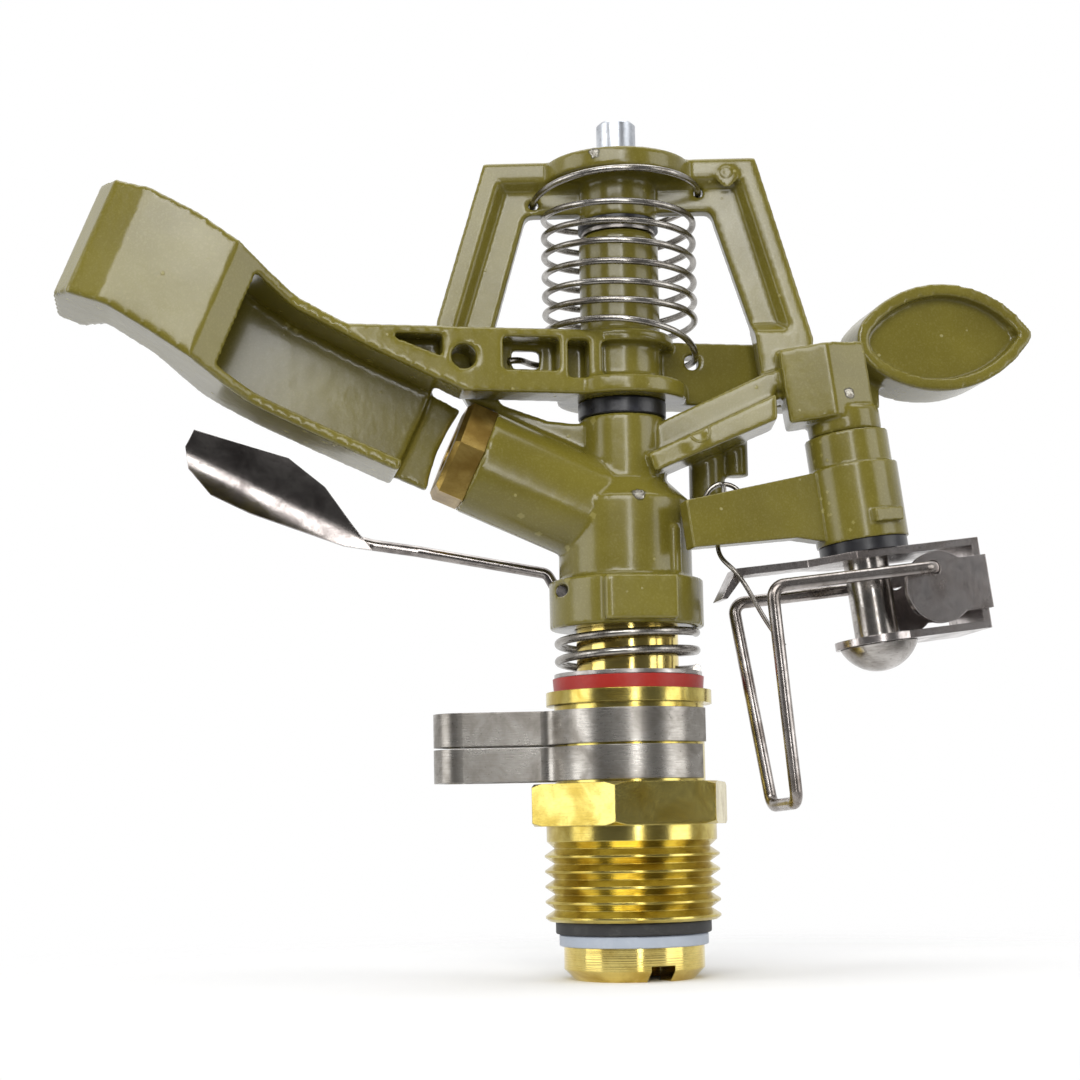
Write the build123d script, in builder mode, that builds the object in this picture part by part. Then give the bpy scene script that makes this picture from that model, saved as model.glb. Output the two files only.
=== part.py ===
from build123d import *
import math
import os

# Impulse sprinkler with a part-circle trip. Millimetres, +Z up. The origin is on the bearing axis at the
# lower end of the inlet thread. The bridge stands in the XZ plane, the nozzle points to -X and upwards,
# the trip mechanism hangs on the +X side, and -Y is the front.

os.makedirs("parts", exist_ok=True)

# Inlet nipple: G 1/2 male thread, hexagon, seat of the trip collars, top flange
thread_r = 10.4775
thread_pitch = 1.814
thread_depth = 1.162
thread_turns = 5
crest_flat = 0.24
thread_lead = 0.35
thread_lead_r = 0.7
neck_r = 10.2
neck_h = 2.2
hex_flats = 21.8
hex_h = 5.0
hex_chamfer_r = 11.9
hex_turn = 20.0
seat_r = 9.0
collar_h = 4.0
collar_gap = 0.3
seat_lead = 0.35
seat_tail = 0.7
flange_r = 9.95
flange_h = 1.6

# Rotating tube and its bearing stack
tube_r = 6.15
tube_bore_r = 4.3
running_clear = 0.05
face_clear = 0.05
tube_flange_r = 8.4
tube_flange_h = 4.0
tube_flange_chamfer = 1.3
tube_slot_w = 3.0
tube_slot_h = 1.9
tube_slot_turn = -68.0
rubber_r = 9.3
rubber_h = 1.5
nylon_r = 8.9
nylon_h = 1.4
washer_edge = 0.2
red_r = 9.0
red_h = 1.6
red_flare = 4.0
seat_washer_r = 8.9
seat_washer_h = 0.5
bearing_wire_r = 0.5
bearing_coil_r = 8.3
bearing_spring_h = 5.4
bearing_turns = 2.0
socket_h = 9.5
socket_clear = 0.02

# Trip collars
collar_t = 1.0
collar_clear = 0.06
lobe_reach = 23.6
lobe_r = 3.7
lobe_root_r = 2.0
upper_gap_deg = 28.0
lower_gap_deg = 33.0

# Body casting
base_r = 9.3
base_h = 5.8
barrel_r = 8.05
barrel_h = 9.4
cone_h = 2.7
body_neck_r = 5.25
body_neck_h = 7.7
pad_low = 0.3
pad_h = 5.2
pad_proud = 1.0
pad_w = 8.6
pad_turn = -81.0
side_rib_turn = -44.0
side_rib_w = 1.2
side_rib_h = 6.0
side_rib_proud = 0.5
chamber_h = 8.0
jet_elevation = 23.0
jet_azimuth = 11.0
jet_drop = 13.0
boss_r = 6.35
boss_reach = 19.6
jet_passage_r = 3.6
nozzle_thread_r = 4.4
nozzle_thread_len = 7.0

# Bridge and its bars, as points in the XZ plane
bridge_half_t = 2.6
bridge_web_half_t = 1.25
bridge_rim_w = 2.3
bridge_outline = [
    (-16.3, 92.0),
    (-22.3, 72.6),
    (-22.6, 69.0),
    (-18.8, 62.6),
    (-15.0, 54.0),
    (-3.0, 50.0),
    (3.1, 55.2),
    (18.2, 62.0),
    (22.0, 63.0),
    (23.3, 69.4),
    (16.8, 92.0),
]
window_outline = [
    (-15.9, 70.0),
    (-11.3, 85.85),
    (11.3, 85.85),
    (16.3, 70.0),
    (16.9, 65.0),
    (4.7, 59.6),
    (-6.0, 59.7),
    (-9.0, 60.1),
    (-14.6, 62.2),
    (-16.3, 65.5),
]
window_corner_r = 1.0
pocket_low_z = 70.5
upper_bar = [(18.2, 62.0), (3.1, 55.2), (4.7, 59.6), (16.9, 65.0), (19.0, 65.5)]
upper_bar_front = 3.5
lower_bar = [(18.3, 59.0), (3.6, 53.0), (2.9, 55.2), (18.2, 62.0)]
lower_bar_front = 6.2
cap_r = 9.1
cap_low_z = 89.4
cap_h = 2.3
pin_boss_r = 4.6
pin_boss_z = 84.8
spring_hole_r = 0.62
left_spring_hole = (-10.3, 87.1)
right_spring_hole = (9.9, 88.2)
mark_r = 1.35
mark_proud = 0.2
bridge_mark = (13.3, 89.6)
bar_mark = (8.4, 56.4)
peg_x = 13.9
peg_y = 2.6
peg_r = 1.5
peg_z = 53.6
post_x = 10.3
post_r = 2.2
post_z = 50.8
lug_low_z = 56.6
lug_h = 2.6
lug_t = 3.4

# Nozzle
nozzle_flats = 11.4
nozzle_hex_h = 3.6
nozzle_chamfer_h = 1.0
nozzle_bore_r = 2.0
nozzle_counter_r = 2.9
nozzle_counter_h = 1.4
nozzle_clear_r = 7.0

# Arm pin, bushing and washers
pin_r = 2.4
pin_top_z = 97.3
pin_chamfer = 0.35
pin_seat_depth = 5.6
bushing_r = 5.35
bushing_h = 2.0
steel_washer_r = 4.5
steel_washer_h = 0.55
black_washer_r = 4.9
black_washer_h = 1.0
bush_wall = 0.75
pin_clear = 0.06

# Drive arm: p runs along the arm to the right, v towards the front
arm_top_z = 70.3
flange_t = 1.35
sleeve_r = 4.85
sleeve_top_z = 83.1
sleeve_chamfer = 0.6
hub_disc_r = 7.9
hub_disc_h = 2.0
hub_top_r = 6.4
beam_front = 5.6
left_beam = [(-3.5, 62.5), (-20.2, 62.62), (-25.5, 65.2), (-25.5, 70.2), (-3.5, 70.3)]
rib_wedge = [(-22.0, 64.5), (-36.5, 70.4), (-33.5, 70.3), (-22.0, 70.3)]
beam_window = [(-15.4, 65.2), (-8.6, 65.2), (-8.6, 69.2), (-15.4, 69.2)]
beam_recess = [(-7.6, 64.4), (-5.0, 64.4), (-5.0, 69.0), (-7.6, 69.0)]
beam_pocket = [(-29.6, 69.3), (-22.6, 69.3), (-22.6, 66.6)]
window_floor = 1.3
window_slot = (-12.0, 67.4)
window_slot_w = 3.4
window_slot_h = 2.2
arm_hole = (-20.1, 66.7)
arm_hole_r = 1.5
right_near = -0.1
right_web_t = 2.0
right_depth = 4.7
right_reach = 33.0
arm_spring_hole = (8.95, 67.8)
arm_spring_hole_r = 0.95
leaf_left = (27.9, 69.6)
leaf_top = (37.4, 77.2)
leaf_tip = (52.0, 71.4)
leaf_low = (38.2, 64.1)
leaf_left_r = 4.0
leaf_tip_r = 1.2
leaf_half_t = 4.0
leaf_rim = 1.5
leaf_recess = 1.6

# Spoon: s runs along the stream, n above it, v towards the front
spoon_top = [(27.4, 7.2), (36.0, 7.6), (46.0, 8.2), (50.6, 9.1), (55.0, 10.2), (60.0, 11.2), (66.0, 11.6), (72.0, 11.1)]
spoon_low = [(72.0, -3.0), (65.0, -2.8), (60.0, -3.5), (54.5, -4.5), (50.0, -5.2), (45.0, -5.6), (36.0, -5.8), (28.0, -5.9)]
spoon_flange_t = 1.3
spoon_plan = [
    (27.6, -4.4),
    (52.8, -4.4),
    (59.0, 0.6),
    (65.5, 1.2),
    (68.6, -4.4),
    (71.8, -4.4),
    (71.8, 5.4),
    (70.0, 9.4),
    (66.0, 11.0),
    (54.6, 11.0),
    (51.4, 9.0),
    (47.0, 5.9),
    (42.0, 5.6),
    (27.6, 5.6),
]
channel_plan = [
    (20.0, 14.0),
    (20.0, -2.9),
    (53.4, -2.9),
    (53.4, -9.0),
    (70.2, -9.0),
    (70.2, 5.2),
    (68.8, 8.2),
    (65.8, 9.4),
    (55.2, 9.4),
    (52.8, 7.8),
    (51.6, 9.0),
    (51.6, 14.0),
]
guard_side = [(23.5, 6.0), (24.0, 3.0), (24.2, 0.0), (24.0, -2.6), (23.6, -4.8), (29.0, -4.8), (29.0, 6.4)]
guard_v = -3.7
guard_t = 1.5

# Arm spring: turns counted from the lowest front arc, with the height and radius of the wire's centre
arm_wire_r = 0.4
arm_coil = [
    (-0.74, 67.4, 9.3),
    (-0.66, 67.5, 7.6),
    (-0.50, 67.6, 6.6),
    (-0.40, 67.7, 7.6),
    (-0.32, 67.8, 9.0),
    (-0.28, 67.8, 9.05),
    (-0.22, 68.3, 9.1),
    (-0.12, 69.8, 9.1),
    (0.0, 70.8, 9.1),
    (0.25, 71.35, 9.1),
    (1.0, 73.05, 9.1),
    (2.0, 75.3, 9.1),
    (3.0, 77.7, 9.1),
    (4.0, 80.2, 9.1),
    (5.0, 82.6, 9.1),
    (5.75, 84.4, 9.1),
    (6.0, 85.0, 9.1),
    (6.25, 85.4, 9.1),
    (6.5, 86.8, 9.4),
    (6.75, 88.2, 9.9),
    (7.0, 88.8, 9.9),
    (7.15, 87.9, 10.2),
    (7.25, 87.1, 10.35),
    (7.29, 87.0, 10.5),
]
arm_coil_step = 1 / 12
arm_spring_tail = [(-10.9, -0.9, 67.4), (-12.2, -3.4, 67.3), (-13.6, -4.6, 67.0)]

# Trip mechanism, in the frame of its tilted pivot: h is the height above the lever, p and q run across
trip_x = 27.0
trip_y = -1.0
trip_z = 57.2
trip_tilt = 7.25
block_low = 2.3
block_h = 9.0
block_plan = [(-6.9, -4.2), (-1.2, -4.9), (3.6, -2.2), (3.6, 1.8), (-6.9, 1.8)]
block_boss_r = 4.4
block_boss_low = 0.5
lever_top = 0.4
lever_boss_r = 5.0
lever_drum_r = 5.55
lever_shoulder = -3.6
lever_low = -12.7
lever_turn = 18.0
lever_plate = [(-22.4, -5.6), (-6.0, -3.9), (0, -3.7), (0, -12.6), (-6.0, -12.1), (-9.0, -11.4), (-22.4, -11.25)]
lever_plate_front = 1.43
lever_plate_t = 2.5
lever_nub_turn = -62.0
lever_nub_r = 0.8
lever_nub_w = 4.0
lever_washer_r = 5.3
lever_washer_h = 1.4
rivet_r = 2.7
rivet_top = 6.0
rivet_head_r = 4.65
rivet_head_h = 3.1
rivet_clear = 0.06
trip_face_clear = 0.06
bracket_turn = 14.0
bracket_t = 0.9
bracket_inner_h = 9.2
bracket_half_w = 4.8
bracket_right = 12.6
bracket_bend_r = 1.6
bracket_eye_r = 5.2
finger_reach = 17.0
finger_half_w = 1.6
finger_drop = 3.4
ear_out = 6.1
ear_r = 4.3
ear_p = 6.3
ear_strip_h = 6.4
ear_hole_r = 0.95
ear_hole_p = 5.7
ear_hole_rise = 2.3
trip_wire_r = 0.75
trip_wire_out = 7.1
trip_wire_left = 15.0
trip_wire_drop = 25.0
trip_wire_foot = 4.3
trip_wire_bend_r = 1.5
snap_wire_r = 0.28
snap_coil_r = 2.3
snap_coil = (11.8, -3.7, 49.4)
snap_leg = [(10.9, -5.4, 43.4), (12.4, -7.0, 41.0), (15.9, -6.6, 35.3), (18.3, -6.0, 31.9)]

# Deflector
deflector_wire_r = 0.75
deflector_pin_r = 0.7
deflector_pivot_x = -7.75
deflector_pivot_z = 39.2
deflector_pin_front = -3.6
deflector_clear = 0.05
deflector_path = [(6.2, -9.6, 42.6), (5.4, -25.5, 45.6), (4.6, -31.0, 46.4), (4.2, -35.5, 47.6)]
deflector_bend_r = 1.2
blade_outline = [
    (-31.0, 45.6),
    (-34.6, 46.2),
    (-46.0, 50.4),
    (-50.8, 52.8),
    (-53.6, 56.2),
    (-54.0, 59.0),
    (-52.8, 61.0),
    (-41.0, 57.0),
    (-36.6, 53.4),
    (-33.4, 48.8),
]
blade_lean = 27.0
blade_mid = (-34.0, 48.2)
blade_y = 3.6
blade_r = 8.5
blade_t = 0.9
blade_len = 30.0

# Levels of the stack, from the thread's lower end upwards
thread_h = thread_pitch * thread_turns
hex_z = thread_h + neck_h
seat_z = hex_z + hex_h
lower_collar_z = seat_z + seat_lead
upper_collar_z = lower_collar_z + collar_h + collar_gap
flange_z = upper_collar_z + collar_h + seat_tail
nipple_top = flange_z + flange_h
red_z = nipple_top + face_clear
seat_washer_z = red_z + red_h + face_clear
bearing_spring_z = seat_washer_z + seat_washer_h
base_z = bearing_spring_z + bearing_spring_h
barrel_z = base_z + base_h
cone_z = barrel_z + barrel_h
body_neck_z = cone_z + cone_h
body_neck_top = body_neck_z + body_neck_h
jet_z = body_neck_top - jet_drop
arm_foot_z = body_neck_top + bushing_h + face_clear
nylon_z = -rubber_h - nylon_h - face_clear
tube_flange_z = nylon_z - tube_flange_h
steel_washer_z = sleeve_top_z + face_clear
black_washer_z = steel_washer_z + steel_washer_h
bush_r = pin_r + pin_clear + bush_wall
lever_washer_top = lever_low - trip_face_clear
bracket_top = lever_washer_top - lever_washer_h
bracket_low = bracket_top - 2 * bracket_t - bracket_inner_h
ear_h = (bracket_top + bracket_low) / 2

# Frames of the arm and of the stream
az = math.radians(jet_azimuth)
el = math.radians(jet_elevation)
up = Vector(0, 0, 1)
arm_along = Vector(math.cos(az), math.sin(az), 0)
arm_front = Vector(math.sin(az), -math.cos(az), 0)
stream_along = arm_along * -math.cos(el) + up * math.sin(el)
stream_up = arm_along * math.sin(el) + up * math.cos(el)
jet_origin = Vector(0, 0, jet_z)
arm_side = Plane(origin=(0, 0, 0), x_dir=arm_along, z_dir=arm_front)
stream_side = Plane(origin=jet_origin, x_dir=stream_along, z_dir=arm_front * -1)
stream_plan = Plane(origin=jet_origin, x_dir=stream_along, z_dir=stream_up)
stream_end = Plane(origin=jet_origin, x_dir=arm_front, z_dir=stream_along)

# Frame of the trip pivot
tilt = math.radians(trip_tilt)
trip_up = Vector(-math.sin(tilt), 0, math.cos(tilt))
trip_right = Vector(math.cos(tilt), 0, math.sin(tilt))
trip_origin = Vector(trip_x, trip_y, trip_z)


def trip_along(turn):
    """Direction across the trip pivot, turned about it from the right."""
    return trip_right * math.cos(math.radians(turn)) + Vector(0, 1, 0) * math.sin(math.radians(turn))


def trip_back(turn):
    """Direction across the trip pivot, a quarter turn on from trip_along."""
    return trip_along(turn + 90)


def trip_plane(turn, height):
    """Plane across the trip pivot at a height."""
    return Plane(origin=trip_origin + trip_up * height, x_dir=trip_along(turn), z_dir=trip_up)


def trip_side(turn, front):
    """Plane along the trip pivot, at a distance in front of it."""
    back = trip_back(turn)
    return Plane(origin=trip_origin - back * front, x_dir=trip_along(turn), z_dir=back * -1)


def trip_point(turn, p, q, height):
    """Point given in the turned frame of the trip pivot."""
    return trip_origin + trip_along(turn) * p + trip_back(turn) * q + trip_up * height


def ring(name, level, outer_r, inner_r, height, edge=0.0):
    """Plain washer or bush round the Z axis."""
    with BuildPart() as made:
        with BuildSketch(Plane.XY.offset(level)):
            Circle(outer_r)
            Circle(inner_r, mode=Mode.SUBTRACT)
        extrude(amount=height)
        if edge:
            fillet(made.edges().filter_by(GeomType.CIRCLE).group_by(SortBy.RADIUS)[-1], edge)
    made.part.label = name
    return made


# Inlet nipple
with BuildPart() as bearing_nipple:
    nipple_bore_r = tube_r + running_clear
    root_r = thread_r - thread_depth
    flank = (thread_pitch - crest_flat) / 2
    profile = [(nipple_bore_r, 0), (root_r + thread_lead_r, 0)]
    for turn in range(thread_turns):
        crest = thread_lead + turn * thread_pitch
        profile.append((thread_r, crest))
        profile.append((thread_r, crest + crest_flat))
        profile.append((root_r, crest + crest_flat + flank))
    profile += [
        (neck_r, thread_h + 0.4),
        (neck_r, hex_z),
        (seat_r, hex_z),
        (seat_r, flange_z),
        (flange_r, flange_z),
        (flange_r, nipple_top),
        (nipple_bore_r, nipple_top),
    ]
    with BuildSketch(Plane.XZ):
        Polygon(*profile, align=None)
    revolve(axis=Axis.Z)
    with BuildSketch(Plane.XY.offset(hex_z)):
        RegularPolygon(hex_flats / 2, 6, major_radius=False, rotation=hex_turn)
        Circle(nipple_bore_r, mode=Mode.SUBTRACT)
    extrude(amount=hex_h)
    corner_r = hex_flats / 2 / math.cos(math.pi / 6) + 0.5
    fall = (corner_r - hex_chamfer_r) * math.tan(math.radians(30))
    for level, rise in ((hex_z, fall), (seat_z, -fall)):
        with BuildSketch(Plane.XZ):
            Polygon(*[(hex_chamfer_r, level), (corner_r, level), (corner_r, level + rise)], align=None)
        revolve(axis=Axis.Z, mode=Mode.SUBTRACT)
bearing_nipple.part.label = "bearing_nipple"

# Rotating tube with its slotted lower flange
with BuildPart() as rotating_tube:
    with BuildSketch(Plane.XZ):
        Polygon(*[
                (tube_bore_r, tube_flange_z),
                (tube_flange_r - tube_flange_chamfer, tube_flange_z),
                (tube_flange_r, tube_flange_z + tube_flange_chamfer),
                (tube_flange_r, tube_flange_z + tube_flange_h),
                (tube_r, tube_flange_z + tube_flange_h),
                (tube_r, base_z + socket_h),
                (tube_bore_r, base_z + socket_h),
            ], align=None)
    revolve(axis=Axis.Z)
    with BuildSketch(Plane.XY.offset(tube_flange_z)):
        Rectangle(2 * tube_flange_r, tube_slot_w, rotation=tube_slot_turn)
        Circle(tube_bore_r - 0.5, mode=Mode.SUBTRACT)
    extrude(amount=tube_slot_h, mode=Mode.SUBTRACT)
rotating_tube.part.label = "rotating_tube"

# Washers of the bearing
inlet_rubber_washer = ring(
    "inlet_rubber_washer", -rubber_h, rubber_r, tube_r + running_clear, rubber_h, washer_edge
)
inlet_nylon_washer = ring("inlet_nylon_washer", nylon_z, nylon_r, tube_r + running_clear, nylon_h, washer_edge)
spring_seat_washer = ring(
    "spring_seat_washer", seat_washer_z, seat_washer_r, tube_r + running_clear, seat_washer_h
)
with BuildPart() as red_washer:
    red_top_r = red_r + red_h * math.tan(math.radians(red_flare))
    with BuildSketch(Plane.XZ):
        Polygon(*[
                (tube_r + running_clear, red_z),
                (red_r, red_z),
                (red_top_r, red_z + red_h),
                (tube_r + running_clear, red_z + red_h),
            ], align=None)
    revolve(axis=Axis.Z)
red_washer.part.label = "red_washer"

# Bearing spring: two turns of wire between the washer and the body
with BuildPart() as bearing_spring:
    bearing_rise = bearing_spring_h - 2 * bearing_wire_r - 2 * face_clear
    with BuildLine() as bearing_path:
        Helix(
            pitch=bearing_rise / bearing_turns,
            height=bearing_rise,
            radius=bearing_coil_r,
            center=(0, 0, bearing_spring_z + bearing_wire_r + face_clear),
        )
    with BuildSketch(bearing_path.line ^ 0):
        Circle(bearing_wire_r)
    sweep(is_frenet=True)
bearing_spring.part.label = "bearing_spring"


def collar(name, level, gap_deg):
    """Keyhole-shaped spring collar round the seat: lobe towards -X, ends apart on the +X side."""
    inner_r = seat_r + collar_clear
    lobe_mid = lobe_reach - lobe_r
    far = 3 * inner_r
    half = far * math.tan(math.radians(gap_deg))
    with BuildPart() as made:
        with BuildSketch(Plane.XY.offset(level)):
            Circle(inner_r + collar_t)
            with Locations((-lobe_mid, 0)):
                Circle(lobe_r)
            with Locations((-lobe_mid / 2, 0)):
                Rectangle(lobe_mid, 2 * lobe_r)
        extrude(amount=collar_h)
        roots = [e for e in made.edges().filter_by(Axis.Z) if -inner_r - 2 < e.center().X < -6]
        fillet(roots, lobe_root_r)
        with BuildSketch(Plane.XY.offset(level)):
            Circle(inner_r)
            with Locations((-lobe_mid, 0)):
                Circle(lobe_r - collar_t)
            with Locations((-lobe_mid / 2, 0)):
                Rectangle(lobe_mid, 2 * (lobe_r - collar_t))
            Polygon(*[(0, 0), (far, -half), (far, half)], align=None)
        extrude(amount=collar_h, mode=Mode.SUBTRACT)
    made.part.label = name
    return made


lower_trip_collar = collar("lower_trip_collar", lower_collar_z, lower_gap_deg)
upper_trip_collar = collar("upper_trip_collar", upper_collar_z, upper_gap_deg)

# Bridge of the body, with rims left round recessed webs
with BuildPart() as bridge:
    with BuildSketch(Plane.XZ.offset(-bridge_half_t)):
        Polygon(*bridge_outline, align=None)
    extrude(amount=2 * bridge_half_t)
    pocket_depth = bridge_half_t - bridge_web_half_t
    for side in (1, -1):
        with BuildSketch(Plane.XZ.offset(side * bridge_half_t)) as pocket:
            Polygon(*bridge_outline, align=None)
            offset(amount=-bridge_rim_w, kind=Kind.INTERSECTION)
            with Locations((0, pocket_low_z - 50)):
                Rectangle(60, 100, mode=Mode.SUBTRACT)
        extrude(amount=-side * pocket_depth, taper=40, mode=Mode.SUBTRACT)
    with BuildSketch(Plane.XZ.offset(-bridge_half_t)) as window:
        Polygon(*window_outline, align=None)
        fillet(window.vertices(), window_corner_r)
    extrude(amount=2 * bridge_half_t, mode=Mode.SUBTRACT)
    with BuildSketch(Plane.XZ.offset(-bridge_half_t)):
        with Locations((11.0, 58.0)):
            Rectangle(14.0, 16.0)
    extrude(amount=bridge_half_t - bridge_web_half_t, mode=Mode.SUBTRACT)

# Body casting: bearing base, barrel, neck, nozzle boss, bridge, trip block and pegs
with BuildPart() as body:
    with BuildSketch(Plane.XZ):
        Polygon(*[
                (0, base_z),
                (base_r, base_z),
                (base_r, barrel_z),
                (barrel_r, barrel_z),
                (barrel_r, cone_z),
                (body_neck_r, body_neck_z),
                (body_neck_r, body_neck_top),
                (0, body_neck_top),
            ], align=None)
    revolve(axis=Axis.Z)
    for turn, reach, width, level, height in (
        (pad_turn, base_r + pad_proud, pad_w, base_z + pad_low, pad_h),
        (side_rib_turn, barrel_r + side_rib_proud, side_rib_w, barrel_z, side_rib_h),
    ):
        with BuildSketch(Plane.XY.offset(level).rotated((0, 0, turn))):
            with Locations((reach / 2 + tube_r / 2, 0)):
                Rectangle(reach - tube_r, width)
        extrude(amount=height)
    with BuildSketch(stream_end):
        Circle(boss_r)
    extrude(amount=boss_reach)
    add(bridge.part)
    for points, front, thickness in (
        (upper_bar, upper_bar_front, upper_bar_front + bridge_web_half_t),
        (lower_bar, lower_bar_front, lower_bar_front + bridge_web_half_t),
    ):
        with BuildSketch(Plane.XZ.offset(front)):
            Polygon(*points, align=None)
        extrude(amount=-thickness)
    for (x, z), front in ((bridge_mark, bridge_half_t), (bar_mark, lower_bar_front)):
        with BuildSketch(Plane.XZ.offset(front)):
            with Locations((x, z)):
                Circle(mark_r)
        extrude(amount=mark_proud)
    with BuildSketch(Plane.XY.offset(cap_low_z)):
        Circle(cap_r)
    extrude(amount=cap_h)
    with BuildSketch(Plane.XY.offset(pin_boss_z)):
        Circle(pin_boss_r)
    extrude(amount=cap_low_z + cap_h - pin_boss_z)
    with BuildSketch(trip_plane(0, block_low)):
        Polygon(*block_plan, align=None)
    extrude(amount=block_h)
    with BuildSketch(trip_plane(0, block_boss_low)):
        Circle(block_boss_r)
    extrude(amount=block_low - block_boss_low + 1)
    with BuildSketch(Plane.XY.offset(lug_low_z)):
        with Locations((peg_x / 2 + 1, peg_y)):
            SlotCenterToCenter(peg_x - 4, lug_t)
    extrude(amount=lug_h)
    for x, r, low in ((peg_x, peg_r, peg_z), (post_x, post_r, post_z)):
        with BuildSketch(Plane.XY.offset(low)):
            with Locations((x, peg_y)):
                Circle(r)
        extrude(amount=lug_low_z + lug_h - low)
    with BuildSketch(stream_end.offset(boss_reach)):
        Circle(nozzle_clear_r)
    extrude(amount=nozzle_hex_h + 2, mode=Mode.SUBTRACT)
    # Water way, socket of the rotating tube and seat of the arm pin
    with BuildSketch(Plane.XY.offset(base_z)):
        Circle(tube_r + socket_clear)
    extrude(amount=socket_h, mode=Mode.SUBTRACT)
    with BuildSketch(Plane.XY.offset(base_z)):
        Circle(tube_bore_r)
    extrude(amount=socket_h + chamber_h, mode=Mode.SUBTRACT)
    with BuildSketch(stream_end):
        Circle(jet_passage_r)
    extrude(amount=boss_reach, mode=Mode.SUBTRACT)
    with BuildSketch(stream_end.offset(boss_reach - nozzle_thread_len)):
        Circle(nozzle_thread_r + socket_clear)
    extrude(amount=nozzle_thread_len, mode=Mode.SUBTRACT)
    with BuildSketch(Plane.XY.offset(body_neck_top - pin_seat_depth)):
        Circle(pin_r + socket_clear)
    extrude(amount=pin_top_z, mode=Mode.SUBTRACT)
    with BuildSketch(trip_plane(0, 0)):
        Circle(rivet_r + socket_clear)
    extrude(amount=rivet_top + socket_clear, mode=Mode.SUBTRACT)
    # Holes for the spring ends and for the deflector
    with BuildSketch(Plane.XZ.offset(-bridge_half_t)):
        with Locations(left_spring_hole, right_spring_hole):
            Circle(spring_hole_r)
    extrude(amount=2 * bridge_half_t, mode=Mode.SUBTRACT)
    with BuildSketch(Plane.XZ.offset(-base_r)):
        with Locations((deflector_pivot_x, deflector_pivot_z)):
            Circle(deflector_pin_r + deflector_clear)
    extrude(amount=2 * base_r, mode=Mode.SUBTRACT)
body.part.label = "body"

# Nozzle: hexagon with a chamfered face, threaded shank in the boss, stepped bore
with BuildPart() as nozzle:
    with BuildSketch(stream_end.offset(boss_reach)):
        RegularPolygon(nozzle_flats / 2, 6, major_radius=False)
    extrude(amount=nozzle_hex_h)
    with BuildSketch(stream_end.offset(boss_reach - nozzle_thread_len)):
        Circle(nozzle_thread_r)
    extrude(amount=nozzle_thread_len)
    with BuildSketch(stream_end.offset(boss_reach - nozzle_thread_len)):
        Circle(nozzle_bore_r)
    extrude(amount=nozzle_thread_len + nozzle_hex_h, mode=Mode.SUBTRACT)
    with BuildSketch(stream_end.offset(boss_reach + nozzle_hex_h - nozzle_counter_h)):
        Circle(nozzle_counter_r)
    extrude(amount=nozzle_counter_h, mode=Mode.SUBTRACT)
    face_edges = nozzle.edges().filter_by(GeomType.LINE)
    front_edges = [e for e in face_edges if abs((e.center() - jet_origin).dot(stream_along) - boss_reach - nozzle_hex_h) < 0.01]
    chamfer(front_edges, nozzle_chamfer_h * 0.6)
nozzle.part.label = "nozzle"

# Arm pin with chamfered ends
with BuildPart() as arm_pivot_pin:
    pin_low_z = body_neck_top - pin_seat_depth
    with BuildSketch(Plane.XY.offset(pin_low_z)):
        Circle(pin_r)
    extrude(amount=pin_top_z - pin_low_z)
    chamfer(arm_pivot_pin.edges().filter_by(GeomType.CIRCLE), pin_chamfer)
arm_pivot_pin.part.label = "arm_pivot_pin"

# Bushing below the arm, washers above it, liner in its hub
arm_lower_bushing = ring("arm_lower_bushing", body_neck_top, bushing_r, pin_r + pin_clear, bushing_h, washer_edge)
arm_steel_washer = ring("arm_steel_washer", steel_washer_z, steel_washer_r, pin_r + pin_clear, steel_washer_h)
arm_black_washer = ring("arm_black_washer", black_washer_z, black_washer_r, pin_r + pin_clear, black_washer_h)
arm_bush = ring("arm_bush", arm_foot_z, bush_r, pin_r + pin_clear, sleeve_top_z - arm_foot_z)

# Channel of the spoon, open towards the nozzle, at the slit and at its outer far side
with BuildPart() as channel:
    inner = [(s, n - spoon_flange_t) for s, n in spoon_top] + [(s, n + spoon_flange_t) for s, n in spoon_low]
    inner[0] = (20.0, inner[0][1])
    inner[-1] = (20.0, inner[-1][1])
    with BuildSketch(stream_side.offset(-14)):
        Polygon(*inner, align=None)
    extrude(amount=30)
    with BuildSketch(stream_plan.offset(-20)):
        Polygon(*channel_plan, align=None)
    extrude(amount=50, mode=Mode.INTERSECT)

with BuildPart() as spoon:
    with BuildSketch(stream_side.offset(-14)):
        Polygon(*(spoon_top + spoon_low), align=None)
    extrude(amount=30)
    with BuildSketch(stream_plan.offset(-20)):
        Polygon(*spoon_plan, align=None)
    extrude(amount=50, mode=Mode.INTERSECT)
    add(channel.part, mode=Mode.SUBTRACT)
    with BuildSketch(stream_side.offset(-guard_v)):
        Polygon(*guard_side, align=None)
    extrude(amount=guard_t)

# Leaf-shaped counterweight with a raised rim on both sides
with BuildPart() as leaf:
    with BuildSketch(arm_side.offset(-leaf_half_t)) as leaf_face:
        with BuildLine():
            ThreePointArc(leaf_left, leaf_top, leaf_tip)
            ThreePointArc(leaf_tip, leaf_low, leaf_left)
        make_face()
        fillet(leaf_face.vertices().sort_by(Axis.X)[0], leaf_left_r)
        fillet(leaf_face.vertices().sort_by(Axis.X)[-1], leaf_tip_r)
    extrude(amount=2 * leaf_half_t)
    for side in (1, -1):
        with BuildSketch(arm_side.offset(side * leaf_half_t)) as leaf_floor:
            with BuildLine():
                ThreePointArc(leaf_left, leaf_top, leaf_tip)
                ThreePointArc(leaf_tip, leaf_low, leaf_left)
            make_face()
            offset(amount=-leaf_rim, kind=Kind.INTERSECTION)
            fillet(leaf_floor.vertices().sort_by(Axis.X)[0], leaf_left_r - leaf_rim)
        extrude(amount=-side * leaf_recess, mode=Mode.SUBTRACT)

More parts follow.
